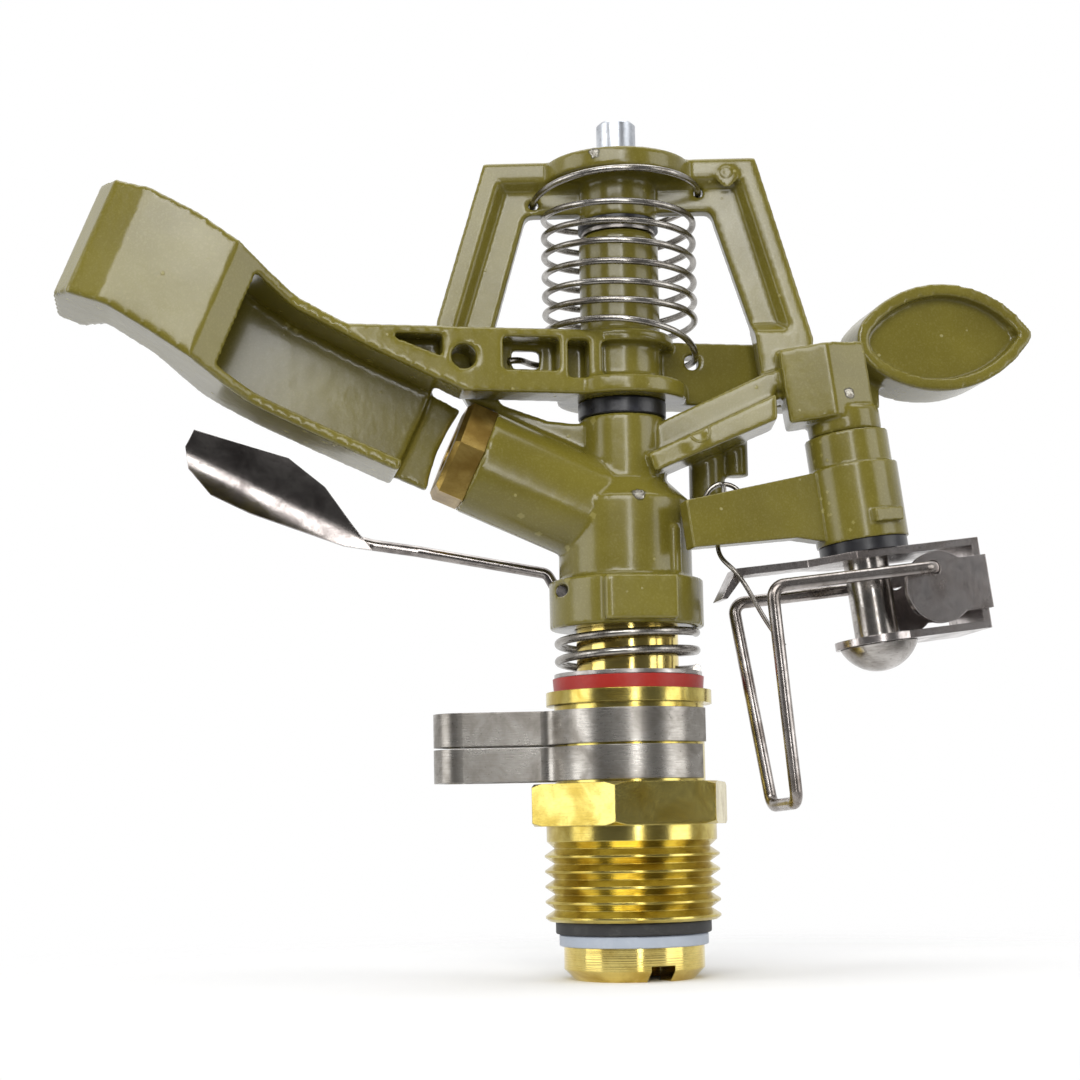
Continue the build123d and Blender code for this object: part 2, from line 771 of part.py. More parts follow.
# Drive arm: hub and sleeve, beam, spoon and counterweight
with BuildPart() as drive_arm:
    with BuildSketch(Plane.XZ):
        Polygon(*[
                (0, arm_foot_z),
                (hub_disc_r, arm_foot_z),
                (hub_disc_r, arm_foot_z + hub_disc_h),
                (sleeve_r, arm_foot_z + hub_disc_h + 0.6),
                (sleeve_r, arm_top_z - flange_t),
                (hub_top_r, arm_top_z - flange_t),
                (hub_top_r, arm_top_z),
                (sleeve_r, arm_top_z + 0.4),
                (sleeve_r, sleeve_top_z - sleeve_chamfer),
                (sleeve_r - sleeve_chamfer, sleeve_top_z),
                (0, sleeve_top_z),
            ], align=None)
    revolve(axis=Axis.Z)
    with BuildSketch(arm_side):
        Polygon(*left_beam, align=None)
        Polygon(*rib_wedge, align=None)
    extrude(amount=beam_front)
    with BuildSketch(arm_side.offset(window_floor)):
        Polygon(*beam_window, align=None)
        Polygon(*beam_recess, align=None)
        Polygon(*beam_pocket, align=None)
    extrude(amount=beam_front, mode=Mode.SUBTRACT)
    with BuildSketch(arm_side):
        with Locations(window_slot):
            Rectangle(window_slot_w, window_slot_h)
        with Locations(arm_hole):
            Circle(arm_hole_r)
    extrude(amount=beam_front, mode=Mode.SUBTRACT)
    with BuildSketch(arm_side.offset(-right_near)):
        Polygon(*[(0, arm_foot_z), (right_reach, arm_foot_z), (right_reach, arm_top_z), (0, arm_top_z)], align=None)
    extrude(amount=-right_depth)
    with BuildSketch(arm_side.offset(-right_near - right_web_t)):
        low = arm_foot_z + flange_t
        high = arm_top_z - flange_t
        Polygon(*[(sleeve_r - 1, low), (right_reach + 9, low), (right_reach + 9, high), (sleeve_r - 1, high)], align=None)
    extrude(amount=-right_depth, mode=Mode.SUBTRACT)
    add(leaf.part)
    with BuildSketch(Plane.XY.offset(arm_foot_z)):
        Circle(sleeve_r)
    extrude(amount=sleeve_top_z - arm_foot_z - 1)
    add(spoon.part)
    with BuildSketch(Plane.XY.offset(arm_foot_z)):
        Circle(bush_r)
    extrude(amount=sleeve_top_z, mode=Mode.SUBTRACT)
    with BuildSketch(arm_side.offset(-right_depth - 1)):
        with Locations(arm_spring_hole):
            Circle(arm_spring_hole_r)
    extrude(amount=right_depth + 2, mode=Mode.SUBTRACT)
drive_arm.part.label = "drive_arm"


def coil_point(turn):
    """Centre of the arm spring's wire after a number of turns; it is left-handed."""
    for (t0, z0, r0), (t1, z1, r1) in zip(arm_coil, arm_coil[1:]):
        if t0 <= turn <= t1:
            part = (turn - t0) / (t1 - t0)
            angle = math.radians(-90 - 360 * turn)
            r = r0 + (r1 - r0) * part
            return (r * math.cos(angle), r * math.sin(angle), z0 + (z1 - z0) * part)
    raise ValueError("turn outside the spring")


# Arm spring: hooked through both holes of the bridge above, and behind the arm below
with BuildPart() as arm_spring:
    first, last = arm_coil[0][0], arm_coil[-1][0]
    steps = round((last - first) / arm_coil_step)
    path = [coil_point(first + (last - first) * i / steps) for i in range(steps + 1)]
    path = arm_spring_tail[::-1] + path
    with BuildLine() as arm_spring_path:
        Spline(*path)
    with BuildSketch(arm_spring_path.line ^ 0):
        Circle(arm_wire_r)
    sweep()
arm_spring.part.label = "arm_spring"

# Trip lever: drum on the rivet with a plate in front of the body
with BuildPart() as trip_lever:
    with BuildSketch(trip_plane(lever_turn, lever_low)):
        Circle(lever_drum_r)
    extrude(amount=lever_shoulder - lever_low)
    with BuildSketch(trip_plane(lever_turn, lever_shoulder)):
        Circle(lever_boss_r)
    extrude(amount=lever_top - lever_shoulder)
    with BuildSketch(trip_side(lever_turn, lever_plate_front)):
        Polygon(*lever_plate, align=None)
    extrude(amount=-lever_plate_t)
    with BuildSketch(trip_plane(lever_nub_turn, lever_low + 1.6)):
        with Locations((lever_drum_r - 0.2, 0)):
            Rectangle(2 * lever_nub_r, lever_nub_w)
    extrude(amount=1.6)
    with BuildSketch(trip_plane(lever_turn, lever_low)):
        Circle(rivet_r + rivet_clear)
    extrude(amount=lever_top - lever_low, mode=Mode.SUBTRACT)
trip_lever.part.label = "trip_lever"

with BuildPart() as lever_washer:
    with BuildSketch(trip_plane(0, lever_washer_top - lever_washer_h)):
        Circle(lever_washer_r)
        Circle(rivet_r + rivet_clear, mode=Mode.SUBTRACT)
    extrude(amount=lever_washer_h)
lever_washer.part.label = "lever_washer"

# Trip rivet: shank in the block, domed head under the bracket
with BuildPart() as trip_rivet:
    head_top = bracket_low - trip_face_clear
    with BuildSketch(trip_plane(0, head_top)):
        Circle(rivet_r)
    extrude(amount=rivet_top - head_top)
    dome_r = (rivet_head_r**2 + rivet_head_h**2) / (2 * rivet_head_h)
    dome_side = trip_side(0, 0)
    with BuildSketch(dome_side):
        with BuildLine():
            Line((0, head_top), (rivet_head_r, head_top))
            RadiusArc((rivet_head_r, head_top), (0, head_top - rivet_head_h), dome_r)
            Line((0, head_top - rivet_head_h), (0, head_top))
        make_face()
    revolve(axis=Axis(trip_origin, trip_up))
trip_rivet.part.label = "trip_rivet"

# Trip bracket: two plates joined by a web, with a finger, and with ears folded beside the rivet
with BuildPart() as trip_bracket:
    inner_low = bracket_low + bracket_t
    plan = [
        (bracket_right, -bracket_half_w),
        (bracket_right, bracket_half_w),
        (-3.0, bracket_half_w),
        (-8.0, finger_half_w),
        (-finger_reach, finger_half_w),
        (-finger_reach, -finger_half_w),
        (-8.0, -finger_half_w),
        (-3.0, -bracket_half_w),
    ]
    with BuildSketch(trip_plane(bracket_turn, bracket_top - bracket_t)):
        Polygon(*plan, align=None)
    extrude(amount=bracket_t)
    with BuildSketch(trip_side(bracket_turn, finger_half_w)):
        Polygon(*[
                (-finger_reach, bracket_top),
                (-finger_reach + bracket_t, bracket_top),
                (-finger_reach + bracket_t, bracket_top - bracket_t),
                (-finger_reach - 1.6, bracket_top - finger_drop),
                (-finger_reach - 2.4, bracket_top - finger_drop),
            ], align=None)
    extrude(amount=-2 * finger_half_w)
    with BuildSketch(trip_plane(bracket_turn, bracket_low)):
        Circle(bracket_eye_r)
        with Locations((bracket_right / 2, 0)):
            Rectangle(bracket_right, 2 * bracket_half_w)
    extrude(amount=bracket_t)
    with BuildSketch(trip_plane(bracket_turn, bracket_low)):
        with Locations((bracket_right - bracket_t / 2, 0)):
            Rectangle(bracket_t, 2 * bracket_half_w)
    extrude(amount=bracket_top - bracket_low)
    with BuildSketch(trip_plane(bracket_turn, ear_h - ear_strip_h / 2)):
        with Locations((bracket_right / 2 + ear_p / 2, 0)):
            Rectangle(bracket_right - ear_p, 2 * ear_out)
            Rectangle(bracket_right - ear_p, 2 * ear_out - 2 * bracket_t, mode=Mode.SUBTRACT)
        with Locations((bracket_right - bracket_t / 2, 0)):
            Rectangle(bracket_t, 2 * ear_out)
    extrude(amount=ear_strip_h)
    for side in (1, -1):
        with BuildSketch(trip_side(bracket_turn, side * ear_out)):
            with Locations((ear_p, ear_h)):
                Circle(ear_r)
        extrude(amount=-side * bracket_t)
    with BuildSketch(trip_side(bracket_turn, ear_out)):
        with Locations((ear_hole_p, ear_h + ear_hole_rise)):
            Circle(ear_hole_r)
    extrude(amount=-2 * ear_out, mode=Mode.SUBTRACT)
    with BuildSketch(trip_plane(bracket_turn, bracket_low)):
        Circle(rivet_r + rivet_clear)
    extrude(amount=bracket_top - bracket_low, mode=Mode.SUBTRACT)
trip_bracket.part.label = "trip_bracket"

# Trip wire: a long U hung by its ends in the ears
with BuildPart() as trip_wire:
    hole_h = ear_h + ear_hole_rise
    foot_h = hole_h - trip_wire_drop
    half = [
        (ear_hole_p, ear_out - bracket_t - 0.8, hole_h),
        (ear_hole_p, trip_wire_out, hole_h),
        (-trip_wire_left, trip_wire_out, hole_h),
        (-trip_wire_left, trip_wire_foot, foot_h),
    ]
    points = half + [(p, -q, h) for p, q, h in half[::-1]]
    with BuildLine() as wire_path:
        FilletPolyline(*[trip_point(bracket_turn, *point) for point in points], radius=trip_wire_bend_r)
    with BuildSketch(wire_path.line ^ 0):
        Circle(trip_wire_r)
    sweep()
trip_wire.part.label = "trip_wire"

# Over-centre spring: a small coil behind the lever's plate and its leg
with BuildPart() as overcentre_spring:
    cx, cy, cz = snap_coil
    coil = []
    for i in range(19):
        angle = math.radians(110 + 30 * i)
        coil.append((cx + snap_coil_r * math.cos(angle), cy + 0.07 * i - 0.6, cz + snap_coil_r * math.sin(angle)))
    with BuildLine() as snap_path:
        Spline(*(snap_leg[::-1] + coil))
    with BuildSketch(snap_path.line ^ 0):
        Circle(snap_wire_r)
    sweep()
overcentre_spring.part.label = "overcentre_spring"

# Deflector: bent rod with a cupped blade under the stream
with BuildPart() as deflector:
    y0 = deflector_path[0][0]
    rod = [Vector(deflector_pivot_x, deflector_pin_front, deflector_pivot_z)]
    rod.append(Vector(deflector_pivot_x, y0, deflector_pivot_z))
    rod += [Vector(x, y, z) for y, x, z in deflector_path]
    with BuildLine() as rod_path:
        FilletPolyline(*rod, radius=deflector_bend_r)
    with BuildSketch(rod_path.line ^ 0):
        Circle(deflector_pin_r)
    sweep()
    lean = math.radians(blade_lean)
    blade_end = Plane(
        origin=(blade_mid[0], blade_y, blade_mid[1]),
        x_dir=(0, 1, 0),
        z_dir=(-math.cos(lean), 0, math.sin(lean)),
    )
with BuildPart() as blade:
    with BuildSketch(blade_end.offset(-6)):
        with Locations((-blade_r, 0)):
            Circle(blade_r + blade_t / 2)
            Circle(blade_r - blade_t / 2, mode=Mode.SUBTRACT)
    extrude(amount=blade_len)
    with BuildSketch(Plane.XZ.offset(-blade_y - 8)):
        Polygon(*blade_outline, align=None)
    extrude(amount=13, mode=Mode.INTERSECT)
with BuildPart() as deflector_all:
    add(deflector.part)
    add(blade.part)
deflector_all.part.label = "deflector"

for piece in (
    bearing_nipple,
    rotating_tube,
    inlet_rubber_washer,
    inlet_nylon_washer,
    red_washer,
    spring_seat_washer,
    bearing_spring,
    lower_trip_collar,
    upper_trip_collar,
    body,
    nozzle,
    arm_pivot_pin,
    arm_lower_bushing,
    arm_steel_washer,
    arm_black_washer,
    arm_bush,
    drive_arm,
    arm_spring,
    trip_lever,
    lever_washer,
    trip_rivet,
    trip_bracket,
    trip_wire,
    overcentre_spring,
    deflector_all,
):
    export_step(piece.part, f"parts/{piece.part.label}.step")
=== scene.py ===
"""Impulse sprinkler with a part-circle trip: finishes, castings, studio floor, lamps and camera."""

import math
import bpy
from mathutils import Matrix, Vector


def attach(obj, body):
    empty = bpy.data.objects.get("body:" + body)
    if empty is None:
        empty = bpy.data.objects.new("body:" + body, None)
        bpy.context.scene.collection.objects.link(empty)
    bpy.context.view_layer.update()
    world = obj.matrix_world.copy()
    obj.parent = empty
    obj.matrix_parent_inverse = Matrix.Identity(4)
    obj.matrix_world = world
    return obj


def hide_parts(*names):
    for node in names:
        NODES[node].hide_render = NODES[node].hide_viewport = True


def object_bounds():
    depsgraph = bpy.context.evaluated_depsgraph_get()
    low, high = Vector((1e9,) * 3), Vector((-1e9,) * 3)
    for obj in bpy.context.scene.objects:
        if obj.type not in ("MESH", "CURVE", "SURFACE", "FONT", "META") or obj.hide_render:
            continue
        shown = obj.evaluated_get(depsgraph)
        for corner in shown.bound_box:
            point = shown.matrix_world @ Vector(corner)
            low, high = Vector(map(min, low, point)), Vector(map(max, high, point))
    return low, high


bl_info = {
    "name": "Impulse sprinkler",
    "version": (1, 0, 0),
    "blender": (4, 5, 0),
    "location": "3D View > Sidebar > Sprinkler",
    "description": "Dresses the impulse sprinkler and sets up its studio view",
    "category": "Object",
}

import bmesh
import bpy
from bpy.props import FloatProperty, FloatVectorProperty, IntProperty, PointerProperty
from mathutils import Matrix, Vector

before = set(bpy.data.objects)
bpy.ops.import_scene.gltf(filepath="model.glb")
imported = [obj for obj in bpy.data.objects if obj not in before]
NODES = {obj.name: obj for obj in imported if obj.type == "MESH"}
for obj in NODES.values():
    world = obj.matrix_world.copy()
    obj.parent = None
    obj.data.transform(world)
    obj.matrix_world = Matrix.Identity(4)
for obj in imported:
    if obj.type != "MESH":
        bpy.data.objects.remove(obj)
CAD_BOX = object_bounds()
MM = 0.001

# Chips and marks on the castings: x, y, z and radius of each, in millimetres
BODY_CHIPS = (
    (1.6, -8.0, 50.3, 0.8),
    (27.2, -5.2, 62.2, 0.7),
    (29.0, -5.3, 60.8, 0.5),
    (-3.0, -9.1, 91.0, 0.7),
)
EJECTOR_MARKS = ((13.2, -4.0, 90.2, 1.3), (9.0, -6.5, 57.6, 1.2))
ARM_CHIPS = ((-51.5, -14.5, 60.2, 0.9), (-48.5, -14.0, 58.6, 0.6), (-64.5, -19.0, 72.0, 0.6))
LEVER_CHIPS = ((28.0, -5.6, 50.0, 0.5), (12.0, -8.0, 55.0, 0.4))
CHIP_RIM = 1.22
MARK_WIDTH = 0.22

# Points of a solid nearer than this are one point, in millimetres
WELD = 0.002

# Floor: a disc in metres, and the distances between which it fades out
FLOOR_RADIUS = 0.4
FLOOR_SIDES = 96
FLOOR_FADE = (0.012, 0.12)

# Lamps: name, place, width and height in metres, and the setting that gives the power
LAMPS = (
    ("key_lamp", (-0.10, -0.46, 0.30), 0.34, 0.26, "key"),
    ("left_lamp", (-0.48, -0.16, 0.16), 0.30, 0.40, "fill"),
    ("right_lamp", (0.46, -0.20, 0.12), 0.30, 0.40, "fill"),
    ("top_lamp", (0.02, 0.02, 0.52), 0.50, 0.50, "top"),
    ("strip_lamp", (0.06, -0.46, 0.10), 0.05, 0.42, "strip"),
)
LAMP_AIM = (0.0, 0.0, 0.045)

# Room seen in reflections: its brightness from the front of the sprinkler, 0, to the back, 1
ROOM = ((0.0, 0.1), (0.4, 0.22), (0.6, 0.7), (0.8, 1.0))

# Camera: place in metres and turns in radians
CAMERA_PLACE = (-0.00741, -0.24218, 0.01118)
CAMERA_YAW = -0.0132
CAMERA_PITCH = 0.0783
CAMERA_ROLL = -0.0195
CAMERA_SENSOR = 36.0
CAMERA_NEAR = 0.01


# Colours and nodes


def srgb(red, green, blue):
    """A colour given as 0 to 255 screen values, as the shader's linear value."""
    shares = [c / 255 for c in (red, green, blue)]
    linear = [((s + 0.055) / 1.055) ** 2.4 if s > 10 / 255 else s / 12.92 for s in shares]
    return (*linear, 1.0)


def colour_of(values):
    """The shader's colour for a colour setting."""
    return (*values, 1.0)


class Field:
    """A value that varies over a surface. Arithmetic on it adds Math nodes."""

    def __init__(self, weave, socket):
        self.weave = weave
        self.socket = socket

    def math(self, operation, *values):
        return self.weave.node("ShaderNodeMath", {"operation": operation}, dict(enumerate(values)))

    def __add__(self, other):
        return self.math("ADD", self, other)

    __radd__ = __add__

    def __sub__(self, other):
        return self.math("SUBTRACT", self, other)

    def __rsub__(self, other):
        return self.math("SUBTRACT", other, self)

    def __mul__(self, other):
        return self.math("MULTIPLY", self, other)

    __rmul__ = __mul__

    def __truediv__(self, other):
        return self.math("DIVIDE", self, other)

    def __pow__(self, other):
        return self.math("POWER", self, other)

    def least(self, other):
        return self.math("MINIMUM", self, other)

    def most(self, other):
        return self.math("MAXIMUM", self, other)

    def size(self):
        return self.math("ABSOLUTE", self)

    def rise(self, low, high):
        """0 up to low, 1 from high, and smooth between them."""
        settings = {"interpolation_type": "SMOOTHSTEP"}
        inputs = {0: self, 1: low, 2: high, 3: 0.0, 4: 1.0}
        return self.weave.node("ShaderNodeMapRange", settings, inputs)


class Weave:
    """Nodes of a material or of the world, and the links between them."""

    def __init__(self, tree):
        self.tree = tree
        self.tree.nodes.clear()

    def node(self, kind, settings=None, inputs=None, output=0):
        made = self.tree.nodes.new(kind)
        for key, value in (settings or {}).items():
            if key == "stops":
                self.set_stops(made.color_ramp, value)
            else:
                setattr(made, key, value)
        for key, value in (inputs or {}).items():
            if isinstance(value, Field):
                self.tree.links.new(value.socket, made.inputs[key])
            else:
                made.inputs[key].default_value = value
        return Field(self, made.outputs[output])

    def set_stops(self, ramp, stops):
        """Eases the ramp through the grey levels given as pairs of position and level."""
        ramp.interpolation = "EASE"
        while len(ramp.elements) < len(stops):
            ramp.elements.new(0.5)
        for element, (position, level) in zip(ramp.elements, stops):
            element.position = position
            element.color = (level, level, level, 1.0)

    def parts(self, place):
        return [self.node("ShaderNodeSeparateXYZ", None, {0: place}, k) for k in range(3)]

    def close(self, kind, shader):
        end = self.tree.nodes.new(kind)
        self.tree.links.new(shader.socket, end.inputs["Surface"])


class Finish(Weave):
    """A material under construction, in metres on the piece's own coordinates."""

    def __init__(self, name):
        self.material = bpy.data.materials.new(name)
        self.material.use_nodes = True
        super().__init__(self.material.node_tree)
        self.place = self.node("ShaderNodeTexCoord", output="Object")

    def noise(self, scale, detail=2.0, rough=0.5, warp=0.0, at=None):
        inputs = {
            "Vector": at or self.place,
            "Scale": scale,
            "Detail": detail,
            "Roughness": rough,
            "Distortion": warp,
        }
        return self.node("ShaderNodeTexNoise", None, inputs)

    def cells(self, scale, output="Distance"):
        inputs = {"Vector": self.place, "Scale": scale}
        return self.node("ShaderNodeTexVoronoi", {"feature": "F1"}, inputs, output)

    def stretched(self, x, y, z):
        inputs = {"Vector": self.place, "Scale": (x, y, z)}
        return self.node("ShaderNodeMapping", None, inputs)

    def blend(self, share, first, second):
        settings = {"data_type": "RGBA", "blend_type": "MIX"}
        return self.node("ShaderNodeMix", settings, {0: share, 6: first, 7: second}, 2)

    def distance(self, centre):
        inputs = {0: self.place, 1: [c * MM for c in centre]}
        return self.node("ShaderNodeVectorMath", {"operation": "DISTANCE"}, inputs, "Value")

    def spots(self, places, wobble):
        """1 inside ragged spots round the given places."""
        nearest = None
        for x, y, z, radius in places:
            share = self.distance((x, y, z)) / (radius * MM)
            nearest = share if nearest is None else nearest.least(share)
        return 1 - (nearest + wobble).rise(0.85, 1.1)

    def rings(self, places, width):
        """1 on the circles round the given places."""
        nearest = None
        for x, y, z, radius in places:
            off = (self.distance((x, y, z)) - radius * MM).size()
            nearest = off if nearest is None else nearest.least(off)
        return 1 - nearest.rise(0.0, width * MM)

    def bump(self, height, depth, normal=None):
        """A bump whose height of 1 stands depth millimetres proud."""
        inputs = {"Height": height, "Distance": depth * MM, "Strength": 1.0}
        if normal is not None:
            inputs["Normal"] = normal
        return self.node("ShaderNodeBump", None, inputs)

    def soft_edges(self, radius):
        return self.node("ShaderNodeBevel", {"samples": 4}, {"Radius": radius * MM})

    def surface(self, colour, roughness, normal, metallic=0.0, coat=0.0, coat_roughness=0.03):
        inputs = {
            "Base Color": colour,
            "Roughness": roughness,
            "Metallic": metallic,
            "Coat Weight": coat,
            "Coat Roughness": coat_roughness,
            "Normal": normal,
        }
        self.close("ShaderNodeOutputMaterial", self.node("ShaderNodeBsdfPrincipled", None, inputs))
        return self.material


# Finishes


def cast_enamel(name, chips=(), marks=()):
    """Glossy olive enamel on a casting: orange peel, dust nibs, thin edges, painted shade in the creases,
    chips to the metal.
    """
    look = bpy.context.scene.sprinkler_enamel
    worn = colour_of(look.worn)
    crease_shade_and_rim = colour_of(look.crease_shade_and_rim)
    f = Finish(name)
    cloud = f.noise(90.0, 3.0)
    grain = f.noise(2600.0)
    peel = f.noise(520.0, rough=0.45)
    sand = f.noise(1300.0)
    haze = f.noise(160.0)
    edge = f.node("ShaderNodeNewGeometry", output="Pointiness")
    ridge = (edge + (grain - 0.5) * 0.02).rise(0.53, 0.6)
    # Painted shade: a mask of the concave creases and corners of the mesh, which are darkened
    crease_shade = 1 - edge.rise(0.42, 0.5)
    nib_place = f.cells(620.0)
    nib_pick = f.node("ShaderNodeSeparateColor", None, {0: f.cells(620.0, output="Color")})
    nib = (1 - nib_place.rise(0.06, 0.16)) * nib_pick.rise(0.86, 0.88)
    colour = f.blend(cloud.rise(0.3, 0.7), colour_of(look.shaded), colour_of(look.lit))
    colour = f.blend((grain - 0.5).size() * 0.5, colour, worn)
    # Painted shade: the creases and corners are blended towards the dark crease colour
    colour = f.blend(crease_shade * 0.55, colour, crease_shade_and_rim)
    colour = f.blend(ridge * 0.35, colour, worn)
    colour = f.blend(nib * 0.5, colour, worn)
    height = peel * 0.5 + sand * 0.16 + nib * 0.6
    rough = look.gloss + (haze - 0.5) * 0.14 + nib * 0.2
    metallic = 0.0
    if chips:
        ragged = (f.noise(1500.0, 3.0) - 0.5) * 0.9
        bare = f.spots(chips, ragged)
        rim = f.spots([(x, y, z, radius * CHIP_RIM) for x, y, z, radius in chips], ragged)
        metal = f.blend(grain.rise(0.3, 0.7), srgb(96, 90, 80), srgb(188, 184, 172))
        # The same dark colour rings each chip as the thicker enamel at its broken edge
        colour = f.blend(rim, colour, crease_shade_and_rim)
        colour = f.blend(bare, colour, metal)
        height = height - bare * 1.2
        rough = rough + bare * 0.15
        metallic = bare * 0.8
    if marks:
        height = height + f.rings(marks, MARK_WIDTH) * 1.4
    normal = f.bump(height, 0.055)
    return f.surface(colour, rough, normal, metallic, coat=0.12, coat_roughness=0.08)


def turned_brass(name, bright, deep, gloss, streak=0.012):
    """Yellow brass off the lathe: fine rings round the axis, smudges and dark flecks."""
    f = Finish(name)
    x, y, z = f.parts(f.place)
    radius = (x * x + y * y) ** 0.5
    turned = f.node("ShaderNodeCombineXYZ", None, {0: radius, 1: z, 2: 0.0})
    rings = f.noise(5200.0, 3.0, 0.6, at=turned)
    smudge = f.noise(210.0, 4.0, 0.6, 0.4)
    fleck = f.noise(1900.0, 3.0, 0.6)
    colour = f.blend(smudge.rise(0.35, 0.7), bright, deep)
    colour = f.blend(rings.rise(0.5, 0.75) * 0.35, colour, deep)
    colour = f.blend(fleck.rise(0.62, 0.74) * 0.25, colour, srgb(92, 74, 32))
    rough = gloss + (smudge - 0.5) * 0.16 + (rings - 0.5) * 0.12
    normal = f.bump(rings + smudge * 2.0, streak, f.soft_edges(0.16))
    return f.surface(colour, rough, normal, metallic=1.0)


def worn_steel(name, bright, dark, gloss, brush=(900.0, 900.0, 7000.0), depth=0.006, edge=0.14):
    """Steel with a drawn or brushed grain, cloudy tarnish and fine dark specks."""
    f = Finish(name)
    grain = f.noise(1.0, 3.0, 0.6, at=f.stretched(*brush))
    tarnish = f.noise(260.0, 4.0, 0.6, 0.5)
    speck = f.noise(2400.0)
    colour = f.blend(tarnish.rise(0.32, 0.72), bright, dark)
    colour = f.blend(grain.rise(0.45, 0.7) * 0.4, colour, dark)
    colour = f.blend(speck.rise(0.66, 0.76) * 0.5, colour, srgb(52, 46, 42))
    rough = gloss + (tarnish - 0.5) * 0.22 + (grain - 0.5) * 0.16
    normal = f.bump(grain + tarnish, depth, f.soft_edges(edge))
    return f.surface(colour, rough, normal, metallic=1.0)


def moulded(name, base, pale, gloss, depth=0.02):
    """Rubber or plastic with a fine grain and a little dust."""
    f = Finish(name)
    grain = f.noise(1700.0, 3.0, 0.6)
    dust = f.noise(420.0, 4.0, 0.65)
    colour = f.blend(dust.rise(0.5, 0.8) * 0.35, base, pale)
    colour = f.blend(grain.rise(0.6, 0.8) * 0.25, colour, pale)
    rough = gloss + (grain - 0.5) * 0.2
    return f.surface(colour, rough, f.bump(grain, depth, f.soft_edges(0.12)))


def dress(names, material):
    """Gives the named solids of the frame this finish."""
    for name in names:
        for slot in NODES[name].material_slots:
            slot.material = material


# Castings


def casting(node_name, piece_name, voxel, material, body):
    """A cast copy of a solid: every edge and corner gets the small radius that a mould gives."""
    solid = bmesh.new()
    solid.from_mesh(NODES[node_name].data)
    bmesh.ops.remove_doubles(solid, verts=solid.verts, dist=WELD * MM)
    mesh = bpy.data.meshes.new(piece_name)
    solid.to_mesh(mesh)
    solid.free()
    piece = bpy.data.objects.new(piece_name, mesh)
    mould = bpy.data.objects.new(piece_name + "_mould", mesh.copy())
    for one in (piece, mould):
        bpy.context.scene.collection.objects.link(one)
    remesh = piece.modifiers.new("skin", "REMESH")
    remesh.mode = "VOXEL"
    remesh.voxel_size = voxel * MM
    wrap = piece.modifiers.new("wrap", "SHRINKWRAP")
    wrap.target = mould
    wrap.wrap_method = "NEAREST_SURFACEPOINT"
    wrap.wrap_mode = "ON_SURFACE"
    smooth = piece.modifiers.new("draft", "SMOOTH")
    smooth.factor = 0.5
    smooth.iterations = bpy.context.scene.sprinkler_enamel.rounds
    graph = bpy.context.evaluated_depsgraph_get()
    cast = bpy.data.meshes.new_from_object(piece.evaluated_get(graph))
    piece.modifiers.clear()
    piece.data = cast
    cast.name = piece_name
    bpy.data.objects.remove(mould)
    for face in cast.polygons:
        face.use_smooth = True
    cast.materials.clear()
    cast.materials.append(material)
    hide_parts(node_name)
    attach(piece, body)


# Settings


class SprinklerEnamel(bpy.types.PropertyGroup):
    """Colours, gloss and skin of the painted castings."""

    lit: FloatVectorProperty(
        name="Lit",
        description="Olive of the open faces",
        subtype="COLOR",
        default=srgb(114, 105, 36)[:3],
        min=0,
        max=1,
    )
    shaded: FloatVectorProperty(
        name="Shaded",
        description="Olive in the denser clouds",
        subtype="COLOR",
        default=srgb(102, 93, 30)[:3],
        min=0,
        max=1,
    )
    # Dark olive for two things: painted shade in the creases and corners, and the thick enamel round each
    # chip
    crease_shade_and_rim: FloatVectorProperty(
        name="Crease_shade_and_rim",
        description="Thick enamel in the corners",
        subtype="COLOR",
        default=srgb(70, 64, 24)[:3],
        min=0,
        max=1,
    )
    worn: FloatVectorProperty(
        name="Worn",
        description="Thin enamel on the edges",
        subtype="COLOR",
        default=srgb(172, 163, 100)[:3],
        min=0,
        max=1,
    )
    gloss: FloatProperty(
        name="Roughness", description="Roughness of the enamel", default=0.22, min=0.05, max=1
    )
    body_skin: FloatProperty(
        name="Body skin", description="Mesh size of the body, in millimetres", default=0.34, min=0.2, max=1
    )
    arm_skin: FloatProperty(
        name="Arm skin", description="Mesh size of the arm, in millimetres", default=0.35, min=0.2, max=1
    )
    lever_skin: FloatProperty(
        name="Lever skin", description="Mesh size of the lever, in millimetres", default=0.17, min=0.1, max=1
    )
    rounds: IntProperty(
        name="Rounding", description="How far the cast edges are rounded", default=4, min=1, max=12
    )


class SprinklerStudio(bpy.types.PropertyGroup):
    """Lamps and lens."""

    key: FloatProperty(
        name="Key", description="Power of the front softbox", default=1.5, min=0, subtype="POWER"
    )
    fill: FloatProperty(
        name="Fill", description="Power of each side softbox", default=0.9, min=0, subtype="POWER"
    )
    top: FloatProperty(
        name="Top", description="Power of the top softbox", default=1.7, min=0, subtype="POWER"
    )
    strip: FloatProperty(
        name="Strip", description="Power of the narrow upright lamp", default=0.5, min=0, subtype="POWER"
    )
    air: FloatProperty(
        name="Air", description="Strength of the soft light from all sides", default=0.3, min=0
    )
    lens: FloatProperty(
        name="Lens", description="Focal length in millimetres", default=67.07, min=10
    )
    rise: FloatProperty(
        name="Rise", description="How far the lens is shifted up, in frame widths", default=0.12
    )


# Operators


class SPRINKLER_OT_body(bpy.types.Operator):
    """Casts the body with its bridge, bars and trip block"""

    bl_idname = "sprinkler.body"
    bl_label = "Body casting"

    def execute(self, context):
        skin = context.scene.sprinkler_enamel.body_skin
        enamel = cast_enamel("body_enamel", BODY_CHIPS, EJECTOR_MARKS)
        casting("body", "body_casting", skin, enamel, "head")
        return {"FINISHED"}


class SPRINKLER_OT_drive_arm(bpy.types.Operator):
    """Casts the drive arm with its spoon, beam, hub and leaf"""

    bl_idname = "sprinkler.drive_arm"
    bl_label = "Drive arm casting"

    def execute(self, context):
        skin = context.scene.sprinkler_enamel.arm_skin
        enamel = cast_enamel("arm_enamel", ARM_CHIPS)
        casting("drive_arm", "drive_arm_casting", skin, enamel, "arm")
        return {"FINISHED"}


